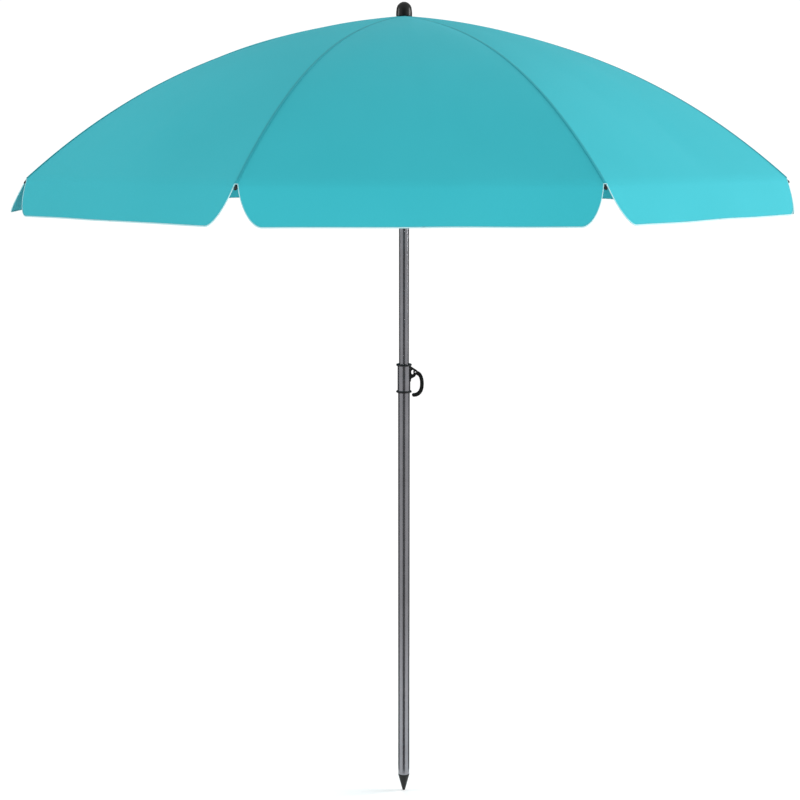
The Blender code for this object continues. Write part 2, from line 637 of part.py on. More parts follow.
def stretcher_mesh():
    """A straight bar from its eye on the runner wire to a flat eye beside the rib clip."""
    radius, height = stretcher_pivot()
    top = Vector((radius - HINGE_RADIUS, STRETCHER_OFFSET, height - RUNNER_HINGE_HEIGHT))
    along = top.normalized()
    rod = rod_mesh("stretcher", [tuple(-0.0028 * along), tuple(0.5 * top), tuple(top - 0.0028 * along)],
                   STRETCHER_RADIUS)
    side = Vector((0, 0.0011, 0))
    flat = round_bar("flat_eye", 0.0038, top - side, top + side, 10)
    hole = round_bar("eye_hole", 0.0021, top - 4 * side, top + 4 * side, 6)
    shave = block("shave", (top.x - 0.012, -0.01, top.z - 0.012), (top.x + 0.006, top.y - 0.0011, top.z + 0.006))
    bar = combined("stretcher", rod, [
        ("DIFFERENCE", shave), ("UNION", flat), ("DIFFERENCE", hole), ("DIFFERENCE", wire_hole("wire_eye", 0.004)),
    ])
    return shade_round(bar)


def surface_patch(target, rows, columns, place):
    """A grid of quads laid out by place(row, column), added to a bmesh."""
    grid = bmesh.new()
    bmesh.ops.create_grid(grid, x_segments=rows, y_segments=columns, size=1.0)
    for vertex in grid.verts:
        row = round((vertex.co.x + 1) / 2 * rows)
        column = round((vertex.co.y + 1) / 2 * columns)
        vertex.co = place(row, column)
    piece = bpy.data.meshes.new("patch")
    grid.to_mesh(piece)
    grid.free()
    target.from_mesh(piece)
    bpy.data.meshes.remove(piece)


def panel_mesh():
    """One eighth of the canopy, centred on its rib, with half a valance flap on each side of the notch."""
    half_columns = 3
    flap_depths = [VALANCE_DEPTH * part for part in (0.0, 0.4, 0.75, 0.93, 1.0)]

    def column_across(column, near, far):
        """Distance from the rib at a column of one half, counted outwards from the notch."""
        return near + (far - near) * (column - 1) / (half_columns - 1)

    def on_gore(row, column):
        share, from_rib = ROW_SHARES[row], abs(column - half_columns)
        side = 1 if column >= half_columns else -1
        far = CANOPY_RADIUS * share * sin(HALF_GORE) - CLEARANCE
        near = far * (0.25 + (NOTCH_TOP / HEM_HALF - 0.25) * share)
        across = column_across(from_rib, near, far) if from_rib else 0.0
        if row == len(ROW_SHARES) - 1 and from_rib:
            across = column_across(from_rib, NOTCH_TOP, far)
        return gore_point(share, across, side)

    def on_flap(side):
        def place(row, column):
            from_rib = 1 + (column if side > 0 else half_columns - 1 - column)
            depth = flap_depths[row]
            across = column_across(from_rib, notch_edge(depth), HEM_HALF - CLEARANCE)
            return flap_point(depth, across, side)
        return place

    cloth = bmesh.new()
    surface_patch(cloth, len(ROW_SHARES) - 1, 2 * half_columns, on_gore)
    for side in (-1, 1):
        surface_patch(cloth, len(flap_depths) - 1, half_columns - 1, on_flap(side))
    bmesh.ops.remove_doubles(cloth, verts=cloth.verts, dist=2e-5)
    mesh = bpy.data.meshes.new("canopy_panel")
    cloth.to_mesh(mesh)
    cloth.free()
    made = add_cutter("canopy_panel", mesh)
    thick = made.modifiers.new("thickness", "SOLIDIFY")
    thick.thickness = CLOTH
    thick.offset = -1.0
    mesh = evaluated_mesh(made, "canopy_panel")
    mesh.transform(Matrix.Translation((-HINGE_RADIUS, 0, -RIB_HINGE_HEIGHT)))
    return shade_round(mesh)


def hinge_frame(name, height, turn):
    """An empty on a hinge, with X pointing away from the pole and Y along the hinge."""
    made = bpy.data.objects.new(name, None)
    parts.objects.link(made)
    made.location = (HINGE_RADIUS * cos(turn), HINGE_RADIUS * sin(turn), height)
    made.rotation_euler = (0, 0, turn)
    return made


def folding_frame():
    rib, tip, clip, stretcher, panel = (
        rib_mesh(), rib_tip_mesh(), rib_clip_mesh(), stretcher_mesh(), panel_mesh()
    )
    for k in range(GORES):
        turn = (2 * k + 1) * HALF_GORE
        number = str(k + 1)
        crown_hinge = hinge_frame("rib_hinge_" + number, RIB_HINGE_HEIGHT, turn)
        runner_hinge = hinge_frame("stretcher_hinge_" + number, RUNNER_HINGE_HEIGHT, turn)
        add_part("rib_" + number, rib, FRAME_LOOK, crown_hinge)
        add_part("rib_tip_" + number, tip, DARK_LOOK, crown_hinge)
        add_part("rib_clip_" + number, clip, STEEL_LOOK, crown_hinge)
        add_part("canopy_panel_" + number, panel, CLOTH_LOOK, crown_hinge)
        add_part("stretcher_" + number, stretcher, FRAME_LOOK, runner_hinge)


lower_tube()
ground_spike()
collar()
lever_bracket()
lever_rivet()
clamp_lever()
clamp_shoe()
upper_tube()
crown()
runner_catch()
runner()
folding_frame()
for leftover in list(cutters.objects):
    bpy.data.objects.remove(leftover, do_unlink=True)
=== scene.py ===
"""Beach umbrella, finished: cloth canopy with bound flaps, coated tubes, moulded collar, wire frame.

Metres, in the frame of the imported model. Angles are measured from +X about the pole. Rib r stands at
(2r + 1) * HALF_GORE, and gore g is the cloth between rib g and the next one.
"""
import json
from math import cos, pi, radians, sin, sqrt, tan

import bmesh
import bpy
from mathutils import Matrix, Vector, noise


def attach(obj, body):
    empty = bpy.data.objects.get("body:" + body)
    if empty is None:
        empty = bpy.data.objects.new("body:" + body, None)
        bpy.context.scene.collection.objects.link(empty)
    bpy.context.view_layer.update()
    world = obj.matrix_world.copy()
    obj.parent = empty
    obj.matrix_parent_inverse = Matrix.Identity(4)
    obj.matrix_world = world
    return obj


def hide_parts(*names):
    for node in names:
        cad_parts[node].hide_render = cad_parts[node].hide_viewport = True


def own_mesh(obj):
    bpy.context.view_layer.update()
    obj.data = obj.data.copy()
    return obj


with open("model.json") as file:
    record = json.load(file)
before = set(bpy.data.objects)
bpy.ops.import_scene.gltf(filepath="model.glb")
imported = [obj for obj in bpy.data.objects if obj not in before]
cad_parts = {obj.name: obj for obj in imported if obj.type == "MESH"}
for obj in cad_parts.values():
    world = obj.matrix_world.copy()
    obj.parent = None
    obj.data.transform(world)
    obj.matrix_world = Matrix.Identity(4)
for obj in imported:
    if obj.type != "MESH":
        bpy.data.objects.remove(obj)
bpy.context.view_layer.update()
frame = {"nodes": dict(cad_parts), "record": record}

# ---------------------------------------------------------------- dimensions shared with the solids
GORES = 8
HALF_GORE = pi / GORES
CANOPY_RADIUS = 0.81              # from the pole's axis to a corner of the canopy
CROWN_HEIGHT = 1.751              # top of the cloth on the pole's axis
CROWN_SLOPE = 0.150               # share of a rib's profile that falls in a straight line
RIB_SAG = 0.265                   # share of it that curves down
RIB_CURVE = 2.72                  # power of that curve
GORE_BULGE = 0.010                # how far the cloth stands above the chord between two ribs
VALANCE_DEPTH = 0.078
NOTCH_CORNER = 0.034              # how far a flap's lower corner is rounded back
CLOTH_HOLE_SHARE = 0.0060 / CANOPY_RADIUS
ROW_SPACING = 0.9                 # power that spaces the rows of cloth between the crown and the hem
RIB_BELOW_CLOTH = 0.005           # from the top of the cloth to the middle of a rib
HINGE_RADIUS = 0.0195             # from the pole's axis to the crown wire
RIB_HINGE_HEIGHT = 1.7415
HEM_HALF = CANOPY_RADIUS * sin(HALF_GORE)

# ---------------------------------------------------------------- cloth
CLOTH_THICKNESS = 0.0007
ROWS = 56
HALF_COLUMNS = 18
FLAP_ROWS = 14
MERGE_DISTANCE = 2e-5             # joins the flaps to their panel along the hem
RIB_CLOTH = 0.9                   # length of cloth along a rib, which gives the UV map its metres

SLACK = 0.0042                    # depth of the waves in a gore
SLACK_SEED = 7.3                  # distance between the gores in the noise
BROAD_WAVES = (3.0, 3.2)          # noise waves across a gore and along it
CROWN_FOLDS = 3                   # folds that fan out from the crown
CROWN_FOLD_TURN = 0.13            # shifts the folds from gore to gore
CROWN_FOLD_REACH = 0.55           # share of the radius where they end
CROWN_FOLD_DEPTH = 0.6
PULL_WAVES = (14, 3.0)            # creases pulled in towards the hem
PULL_SEED = 5.0
PULL_DEPTH = 0.8

# how far each gore's flap hangs out from vertical
FLAP_FLARES = [radians(a) for a in (24.0, 22.5, 25.0, 32.0, 25.0, 23.5, 26.0, 21.0)]
FLAP_SWAY = 0.0030                # depth of the waves along a flap's lower edge
SWAY_SEED = 11.1                  # distance between the flaps in the noise
SWAY_WAVES = 4.5
SWAY_ROW = 0.7
SWAY_SWING = 0.4                  # depth of the regular wave beside the noise
SWAY_SWING_TURN = 0.2
NOTCH_TOP = 0.0032                # half width of the slit between two flaps, at the rib
NOTCH_SLANT = 0.09                # how much that half width grows with the depth

# ---------------------------------------------------------------- sewn trims
SEAM_HALF_WIDTH = 0.0030
SEAM_STEPS = 90
SEAM_START = 0.012                # share of the radius where the seam starts, under the cap
SEAM_END = 0.9985
SEAM_LOW = -0.0003
SEAM_HIGH = 0.0006
SEAM_CROWN_WIDTH = 0.25           # share of its width that the seam starts with
SEAM_WIDENING = 8
TAPE_ROUNDING = 0.3               # corner of a tape, as a share of its smaller side
BINDING_INNER = 0.0020            # how far the binding reaches in from the edge of a flap
BINDING_INNER_AT_NOTCH = 0.0009
BINDING_OUTER = 0.0006            # and how far out
BINDING_EDGE = -0.0007            # the dark inner edge ends here, measured from the middle of the binding
BINDING_PROUD = 0.0005            # how far it stands above and below the cloth
BINDING_HEM_STEPS = 30
BINDING_NOTCH_STEPS = 26
BINDING_LOOK_IN = 0.02            # how far into the cloth the inward direction is taken
BINDING_TURN_SHARE = 0.9999       # where it turns over the top of the notch
BINDING_TURN_INSIDE = 0.96
BINDING_TURN_WIDTH = 0.35         # share of NOTCH_TOP
POCKET_STEPS = 16
POCKET_HALF_COLUMNS = 4
POCKET_START = 0.952              # share of the radius, as is the length
POCKET_LENGTH = 0.0465
POCKET_HALF_WIDTH = 0.0110
POCKET_TAPER = 0.0058
POCKET_TAPER_POWER = 1.5
POCKET_GAP = 0.0002
POCKET_HEM = 0.0004               # its thickness along its sewn sides
POCKET_DEPTH = 0.0079
POCKET_BAG_POWER = 0.6

# ---------------------------------------------------------------- wire ribs and hardware
RIB_WIRE_RADIUS = 0.0021
RIB_WIRE_SIDES = 12
RIB_WIRE_STEPS = 40
RIB_WIRE_START = 0.045            # share of the radius, as is the length
RIB_WIRE_LENGTH = 0.953
RIB_EYE_INSIDE = 0.0028           # the straight end of a rib on both sides of the crown wire
RIB_EYE_OUTSIDE = 0.004
ROUNDED = ("clamp_lever", "lever_bracket")
EDGE_ROUNDING = 0.0008
ROUNDED_ABOVE = radians(50)
SMOOTH_BELOW = radians(32)
WELD_DISTANCE = 1e-5

# ---------------------------------------------------------------- studio
FLOOR_RADIUS = 1.5
FLOOR_SOLID_RADIUS = 0.3          # outside this the floor fades out
FLOOR_BELOW = 0.0005
FLOOR_SIDES = 96
STUDIO_LIGHT = 0.72               # strength of the white round the object as light
STUDIO_BACKDROP = 1.05            # and where it is seen directly
FLAG_INNER_RADIUS = 0.12
FLAG_OUTER_RADIUS = 5.2
FLAG_ABOVE_FLOOR = 0.001
FLAG_HEIGHT = 4.6
FLAG_STEPS = 24
FLAGS = [("front_flag", radians(-92), radians(24)), ("back_flag", radians(88), radians(84))]
LIGHT_AIM = (0, 0, 1.55)
LIGHTS = [  # name, place, size, power, whether reflections show it
    ("right_key", (6.0, 0.5, 2.5), (2.6, 2.6), 385, True),
    ("left_fill", (-6.0, 0.6, 2.7), (2.6, 2.6), 150, True),
    ("front_fill", (0.6, -6.0, 0.95), (2.0, 1.2), 235, False),
    ("top_soft", (-0.8, 2.6, 4.9), (2.6, 2.6), 90, False),
]
CAMERA_LENS = 67.0
CAMERA_SENSOR = 36.0
CAMERA_DISTANCE = 3.266
CAMERA_HEIGHT = 1.4768
CAMERA_TURN = radians(2.24)       # it stands this far to the left of straight in front
CAMERA_PITCH = radians(90 - 9.67)
CAMERA_PAN = radians(0.154)


# ---------------------------------------------------------------- node helpers
def new_material(name):
    made = bpy.data.materials.new(name)
    made.use_nodes = True
    return made, made.node_tree.nodes, made.node_tree.links, made.node_tree.nodes["Principled BSDF"]


def add_node(nodes, kind, **settings):
    """A node with these properties; a setting named in_Scale sets the socket Scale."""
    made = nodes.new(kind)
    for key, value in settings.items():
        if key.startswith("in_"):
            made.inputs[key[3:].replace("_", " ")].default_value = value
        else:
            setattr(made, key, value)
    return made


def math_node(nodes, links, operation, first, second=None):
    made = nodes.new("ShaderNodeMath")
    made.operation = operation
    for socket, value in zip(made.inputs, (first, second)):
        if value is None:
            continue
        if isinstance(value, (int, float)):
            socket.default_value = value
        else:
            links.new(value, socket)
    return made.outputs[0]


def noise_node(nodes, links, coordinates, scale, detail, roughness=0.5):
    made = add_node(nodes, "ShaderNodeTexNoise", in_Scale=scale, in_Detail=detail, in_Roughness=roughness)
    links.new(coordinates, made.inputs["Vector"])
    return made.outputs["Fac"]


def ramp_node(nodes, links, value, stops):
    made = nodes.new("ShaderNodeValToRGB")
    links.new(value, made.inputs["Fac"])
    elements = made.color_ramp.elements
    while len(elements) < len(stops):
        elements.new(0.5)
    for element, (place, colour) in zip(elements, stops):
        element.position = place
        element.color = (*colour, 1.0)
    return made.outputs["Color"]


def range_node(nodes, links, value, low, high):
    made = add_node(nodes, "ShaderNodeMapRange")
    made.inputs["To Min"].default_value = low
    made.inputs["To Max"].default_value = high
    links.new(value, made.inputs["Value"])
    return made.outputs["Result"]


def bump_node(nodes, links, height, strength, distance, under=None):
    made = add_node(nodes, "ShaderNodeBump", in_Strength=strength, in_Distance=distance)
    links.new(height, made.inputs["Height"])
    if under is not None:
        links.new(under, made.inputs["Normal"])
    return made.outputs["Normal"]


def blend_node(nodes, links, first, first_share, second, second_share):
    """The sum of two values, each times its share."""
    return math_node(nodes, links, "ADD", math_node(nodes, links, "MULTIPLY", first, first_share),
                     math_node(nodes, links, "MULTIPLY", second, second_share))


def colour_over(nodes, links, factor, under, over):
    """One colour laid over a linked one wherever the factor is 1."""
    mix = add_node(nodes, "ShaderNodeMix", data_type="RGBA")
    links.new(factor, mix.inputs["Factor"])
    links.new(under, mix.inputs["A"])
    mix.inputs["B"].default_value = (*over, 1.0)
    return mix.outputs["Result"]


def metric_coordinates(nodes, links):
    """The coordinate node, and the UV map's metres across and along the cloth."""
    place = nodes.new("ShaderNodeTexCoord")
    split = nodes.new("ShaderNodeSeparateXYZ")
    links.new(place.outputs["UV"], split.inputs["Vector"])
    return place, split.outputs["X"], split.outputs["Y"]


# ---------------------------------------------------------------- materials
WEAVE_PITCH = 0.0009
WEAVE_DEPTH = 0.00012
CREASE_DEPTH = 0.004
CLOTH_SPECULAR = 0.10
CLOTH_SHEEN = 0.03
CLOTH_SHEEN_ROUGHNESS = 0.4
CLOTH_TRANSLUCENCE = 0.14
STITCH_SHARE = 0.68               # share of a stitch's pitch where the thread lies on top
STITCH_DEPTH = 0.0003
TUBE_STREAK = (1.0, 1.0, 0.015)   # squeezes the noise into lines that run along the tube
TUBE_DEPTH = 0.0001
PLASTIC_SPECULAR = 0.26


def cloth_material(name, dark, light):
    """Plain-woven polyester: over-and-under yarns, uneven dye, soft creases, and some light through it."""
    made, nodes, links, shader = new_material(name)
    place, across, along = metric_coordinates(nodes, links)
    rate = 2 * pi / WEAVE_PITCH
    warp = math_node(nodes, links, "SINE", math_node(nodes, links, "MULTIPLY", across, rate))
    weft = math_node(nodes, links, "SINE", math_node(nodes, links, "MULTIPLY", along, rate))
    weave = math_node(nodes, links, "MULTIPLY", warp, weft)
    slubs = noise_node(nodes, links, place.outputs["UV"], scale=420.0, detail=2.0)
    yarn = math_node(nodes, links, "ADD", weave, slubs)
    creases = noise_node(nodes, links, place.outputs["Object"], scale=9.0, detail=4.0, roughness=0.55)
    cloudy = noise_node(nodes, links, place.outputs["Object"], scale=2.6, detail=2.0)
    tone = blend_node(nodes, links, cloudy, 0.7, slubs, 0.3)
    colour = ramp_node(nodes, links, tone, [(0.25, dark), (0.75, light)])
    links.new(colour, shader.inputs["Base Color"])
    soft = bump_node(nodes, links, creases, strength=0.25, distance=CREASE_DEPTH)
    normal = bump_node(nodes, links, yarn, strength=0.35, distance=WEAVE_DEPTH, under=soft)
    links.new(normal, shader.inputs["Normal"])
    links.new(range_node(nodes, links, slubs, low=0.66, high=0.86), shader.inputs["Roughness"])
    shader.inputs["Specular IOR Level"].default_value = CLOTH_SPECULAR
    shader.inputs["Sheen Weight"].default_value = CLOTH_SHEEN
    shader.inputs["Sheen Roughness"].default_value = CLOTH_SHEEN_ROUGHNESS
    through = nodes.new("ShaderNodeBsdfTranslucent")
    links.new(colour, through.inputs["Color"])
    mix = nodes.new("ShaderNodeMixShader")
    mix.inputs["Fac"].default_value = CLOTH_TRANSLUCENCE
    links.new(shader.outputs["BSDF"], mix.inputs[1])
    links.new(through.outputs["BSDF"], mix.inputs[2])
    links.new(mix.outputs["Shader"], nodes["Material Output"].inputs["Surface"])
    return made


def stitched_material(name, colour, thread, pitch, line, width, edge_colour=None):
    """A woven tape with stitches at this distance from its middle, and maybe a darker inner edge."""
    made, nodes, links, shader = new_material(name)
    place, across, along = metric_coordinates(nodes, links)
    off = math_node(nodes, links, "ABSOLUTE", across)
    from_line = math_node(nodes, links, "ABSOLUTE", math_node(nodes, links, "SUBTRACT", off, line))
    near = math_node(nodes, links, "LESS_THAN", from_line, width)
    beat = math_node(nodes, links, "FRACT", math_node(nodes, links, "DIVIDE", along, pitch))
    on_top = math_node(nodes, links, "LESS_THAN", beat, STITCH_SHARE)
    stitch = math_node(nodes, links, "MULTIPLY", near, on_top)
    grain = noise_node(nodes, links, place.outputs["UV"], scale=900.0, detail=2.0)
    tape = ramp_node(nodes, links, grain, [(0.3, [c * 0.82 for c in colour]), (0.7, colour)])
    paint = colour_over(nodes, links, stitch, tape, thread)
    if edge_colour is not None:
        inner = math_node(nodes, links, "LESS_THAN", across, BINDING_EDGE)
        paint = colour_over(nodes, links, inner, paint, edge_colour)
    links.new(paint, shader.inputs["Base Color"])
    height = math_node(nodes, links, "ADD", stitch, math_node(nodes, links, "MULTIPLY", grain, 0.4))
    normal = bump_node(nodes, links, height, strength=0.5, distance=STITCH_DEPTH)
    links.new(normal, shader.inputs["Normal"])
    links.new(range_node(nodes, links, grain, low=0.6, high=0.85), shader.inputs["Roughness"])
    shader.inputs["Specular IOR Level"].default_value = CLOTH_SPECULAR
    shader.inputs["Sheen Weight"].default_value = CLOTH_SHEEN
    return made


def coated_metal(name, dark, light, rough, metallic, grit=0.0):
    """A coated tube: faint drawing lines along it, orange-peel skin, and rubbed patches."""
    made, nodes, links, shader = new_material(name)
    place = nodes.new("ShaderNodeTexCoord")
    stretch = nodes.new("ShaderNodeMapping")
    stretch.inputs["Scale"].default_value = TUBE_STREAK
    links.new(place.outputs["Object"], stretch.inputs["Vector"])
    lines = noise_node(nodes, links, stretch.outputs["Vector"], scale=900.0, detail=3.0)
    skin = noise_node(nodes, links, place.outputs["Object"], scale=700.0, detail=2.0)
    rubbed = noise_node(nodes, links, place.outputs["Object"], scale=14.0, detail=5.0, roughness=0.65)
    links.new(ramp_node(nodes, links, rubbed, [(0.35, dark), (0.7, light)]), shader.inputs["Base Color"])
    uneven = blend_node(nodes, links, lines, 0.5, rubbed, 0.5)
    roughness = range_node(nodes, links, uneven, low=rough - 0.07, high=rough + 0.12 + grit)
    links.new(roughness, shader.inputs["Roughness"])
    shader.inputs["Metallic"].default_value = metallic
    height = math_node(nodes, links, "ADD", math_node(nodes, links, "MULTIPLY", lines, 0.6), skin)
    normal = bump_node(nodes, links, height, strength=0.03 + grit, distance=TUBE_DEPTH)
    links.new(normal, shader.inputs["Normal"])
    return made


def moulded_plastic(name, dark, light, rough, grain_scale, grain_depth):
    """Moulded plastic with a fine spark texture and scuffs that dull the gloss."""
    made, nodes, links, shader = new_material(name)
    place = nodes.new("ShaderNodeTexCoord")
    spark = noise_node(nodes, links, place.outputs["Object"], scale=grain_scale, detail=2.0)
    scuffs = noise_node(nodes, links, place.outputs["Object"], scale=160.0, detail=6.0, roughness=0.7)
    links.new(ramp_node(nodes, links, scuffs, [(0.4, dark), (0.75, light)]), shader.inputs["Base Color"])
    roughness = range_node(nodes, links, scuffs, low=rough - 0.08, high=rough + 0.18)
    links.new(roughness, shader.inputs["Roughness"])
    normal = bump_node(nodes, links, spark, strength=0.3, distance=grain_depth)
    links.new(normal, shader.inputs["Normal"])
    shader.inputs["Specular IOR Level"].default_value = PLASTIC_SPECULAR
    return made


CLOTH = cloth_material("woven_turquoise_cloth", dark=(0.034, 0.385, 0.445), light=(0.043, 0.420, 0.485))
# The pocket cloth is darker than the canopy cloth: painted shade at the end of the rib, on a real sewn
# pocket.
POCKET_PAINTED_SHADE = cloth_material("pocket_cloth_painted_shade", dark=(0.020, 0.24, 0.29), light=(0.028, 0.28, 0.33))
# The seam tape is darker than the cloth: painted shadow along the rib, on a real sewn tape.
SEAM_PAINTED_SHADOW = stitched_material(
    "stitched_seam_painted_shadow", colour=(0.020, 0.27, 0.32), thread=(0.035, 0.38, 0.44),
    pitch=0.0032, line=0.0021, width=0.00035,
)
BINDING = stitched_material(
    "pale_binding", colour=(0.40, 0.64, 0.67), thread=(0.26, 0.54, 0.58),
    pitch=0.0030, line=0.0, width=0.0003, edge_colour=(0.02, 0.20, 0.24),
)
TUBE = coated_metal(
    "coated_tube", dark=(0.255, 0.253, 0.272), light=(0.305, 0.303, 0.325),
    rough=0.17, metallic=0.92,
)
WIRE = coated_metal(
    "galvanised_steel", dark=(0.30, 0.31, 0.32), light=(0.48, 0.49, 0.50),
    rough=0.38, metallic=1.0, grit=0.1,
)
STEEL = coated_metal(
    "blackened_steel", dark=(0.05, 0.05, 0.052), light=(0.12, 0.12, 0.12),
    rough=0.33, metallic=1.0, grit=0.05,
)
BLACK = moulded_plastic(
    "black_moulding", dark=(0.0045, 0.0048, 0.0045), light=(0.011, 0.0115, 0.011),
    rough=0.28, grain_scale=1800.0, grain_depth=0.00006,
)
DARK = moulded_plastic(
    "dark_moulding", dark=(0.009, 0.009, 0.0095), light=(0.020, 0.020, 0.021),
    rough=0.40, grain_scale=1400.0, grain_depth=0.0001,
)
SLOT_LOOKS = {
    "turquoise_cloth": CLOTH, "grey_coated_tube": TUBE, "galvanised_wire": WIRE,
    "black_plastic": BLACK, "dark_plastic": DARK, "dark_steel": STEEL,
}


# ---------------------------------------------------------------- canopy surface
def cloth_drop(share):
    """How far the cloth over a rib has fallen at this share of the canopy's radius."""
    return CANOPY_RADIUS * (CROWN_SLOPE * share + RIB_SAG * share ** RIB_CURVE)


def rib_normal(share):
    slope = CROWN_SLOPE + RIB_SAG * RIB_CURVE * share ** (RIB_CURVE - 1)
    length = sqrt(1 + slope * slope)
    return Vector((slope / length, 0, 1 / length))


def gore_wave(gore, share, part):
    """Slack in the cloth: part runs from 0 at one rib to 1 at the next, and the slack ends at both."""
    hold = sin(pi * part) ** 2 * share * (1 - share ** 6)
    seed = Vector((SLACK_SEED * gore, 0, 0))
    broad = noise.noise(seed + Vector((BROAD_WAVES[0] * part, BROAD_WAVES[1] * share, 0)))
    fan = sin(2 * pi * (CROWN_FOLDS * part + CROWN_FOLD_TURN * gore))
    radiating = fan * max(0.0, CROWN_FOLD_REACH - share) * CROWN_FOLD_DEPTH
    pull = noise.noise(seed + Vector((PULL_WAVES[0] * part, PULL_WAVES[1] * share, PULL_SEED)))
    pulled = pull * share ** 3 * PULL_DEPTH
    return SLACK * hold * (broad + radiating + pulled)


def across_gore(rib, side, across, share):
    """The gore that a point lies on, and how far across it the point is."""
    part = across / (2 * CANOPY_RADIUS * share * sin(HALF_GORE))
    return (rib % GORES, part) if side > 0 else ((rib - 1) % GORES, 1 - part)


def gore_point(rib, share, across, side):
    """A point on the cloth in the frame of its rib: X along the rib, Y across it."""
    half_chord = CANOPY_RADIUS * share * sin(HALF_GORE)
    lean = 1 - (1 - across / half_chord) ** 2
    bulge = GORE_BULGE * 4 * share * (1 - share) * lean
    gore, part = across_gore(rib, side, across, share)
    flat = Vector((
        CANOPY_RADIUS * share - across * sin(HALF_GORE),
        side * across * cos(HALF_GORE),
        CROWN_HEIGHT - cloth_drop(share) + bulge,
    ))
    turn = Matrix.Rotation(side * HALF_GORE * min(1.0, across / half_chord), 3, "Z")
    return flat + turn @ rib_normal(share) * gore_wave(gore, share, part)


def flap_point(rib, depth, across, side):
    """A point on the flap below the hem, which waves a little in and out towards its lower edge."""
    gore, part = across_gore(rib, side, across, 1.0)
    flare = FLAP_FLARES[gore]
    out = depth * sin(flare)
    fall = Vector((out * cos(HALF_GORE), side * out * sin(HALF_GORE), -depth * cos(flare)))
    ends = sin(pi * part)
    swing = sin(2 * pi * (2 * part + SWAY_SWING_TURN * gore))
    sway = noise.noise(Vector((SWAY_SEED * gore, SWAY_WAVES * part, SWAY_ROW))) + SWAY_SWING * swing
    wave = FLAP_SWAY * (depth / VALANCE_DEPTH) ** 1.5 * ends * sway
    outward = Vector((cos(HALF_GORE), side * sin(HALF_GORE), tan(flare)))
    return gore_point(rib, 1.0, across, side) + fall + outward * wave


def notch_edge(depth):
    """Distance from the rib's plane to the edge of a flap at this depth below the hem."""
    rounded = 1 - sqrt(max(0.0, 1 - (depth / VALANCE_DEPTH) ** 2))
    return NOTCH_TOP + NOTCH_SLANT * depth + NOTCH_CORNER * rounded


def rib_angle(rib):
    return (2 * rib + 1) * HALF_GORE


def row_share(row):
    return CLOTH_HOLE_SHARE + (1 - CLOTH_HOLE_SHARE) * (row / ROWS) ** ROW_SPACING


def spread_columns(near, far):
    """Distances from the rib of the columns from near to far."""
    return [near + (far - near) * k / (HALF_COLUMNS - 1) for k in range(HALF_COLUMNS)]


def panel_columns(share):
    """Distances from the rib of a row's columns, out to the middle of the gore."""
    far = CANOPY_RADIUS * share * sin(HALF_GORE)
    spread = far / HALF_COLUMNS
    near = spread + (NOTCH_TOP - spread) * share ** 4
    return [0.0] + spread_columns(near, far)


def flap_depth(row):
    return VALANCE_DEPTH * sin(pi / 2 * row / FLAP_ROWS)


def panel_sheet(rib):
    """The cloth of one panel as rows of (point, metres across, metres along), one grid and two flaps."""
    gore = []
    for row in range(ROWS + 1):
        share = row_share(row)
        distances = panel_columns(share)
        line = [(-1, d) for d in reversed(distances[1:])] + [(1, d) for d in distances]
        gore.append([(gore_point(rib, share, d, side), side * d, share * RIB_CLOTH) for side, d in line])
    flaps = []
    for side in (-1, 1):
        rows = []
        for row in range(FLAP_ROWS + 1):
            depth = flap_depth(row)
            line = spread_columns(notch_edge(depth), HEM_HALF)
            if side < 0:
                line.reverse()
            rows.append([(flap_point(rib, depth, d, side), side * d, RIB_CLOTH + depth) for d in line])
        flaps.append(rows)
    return [gore, *flaps]


# ---------------------------------------------------------------- mesh builders
def closed_shell(name, grids, turn):
    """A closed sheet of the cloth's thickness under the given grids, with a metric UV map."""
    shell = bmesh.new()
    uv = shell.loops.layers.uv.new("metres")
    for rows in grids:
        table = [[shell.verts.new(turn @ point) for point, _, _ in row] for row in rows]
        for r in range(len(rows) - 1):
            for c in range(len(rows[0]) - 1):
                corners = [(r, c), (r + 1, c), (r + 1, c + 1), (r, c + 1)]
                face = shell.faces.new([table[i][j] for i, j in corners])
                for loop, (i, j) in zip(face.loops, corners):
                    loop[uv].uv = rows[i][j][1:]
    bmesh.ops.remove_doubles(shell, verts=shell.verts, dist=MERGE_DISTANCE)
    bmesh.ops.recalc_face_normals(shell, faces=shell.faces)
    if sum(face.normal.z for face in shell.faces) < 0:
        bmesh.ops.reverse_faces(shell, faces=shell.faces)
    shell.normal_update()
    top = list(shell.faces)
    edge = [e for e in shell.edges if e.is_boundary]
    below = {v: shell.verts.new(v.co - v.normal * CLOTH_THICKNESS) for v in list(shell.verts)}
    for face in top:
        face.smooth = True
        back = shell.faces.new([below[v] for v in reversed(face.verts)])
        back.smooth = True
        for loop, source in zip(back.loops, reversed(face.loops)):
            loop[uv].uv = source[uv].uv
    for e in edge:
        loop = e.link_loops[0]
        a, b = loop.vert, loop.link_loop_next.vert
        rim = shell.faces.new([b, a, below[a], below[b]])
        for corner in rim.loops:
            corner[uv].uv = loop[uv].uv
        for side in rim.edges:
            side.smooth = False
    mesh = bpy.data.meshes.new(name)
    shell.normal_update()
    shell.to_mesh(mesh)
    shell.free()
    return mesh


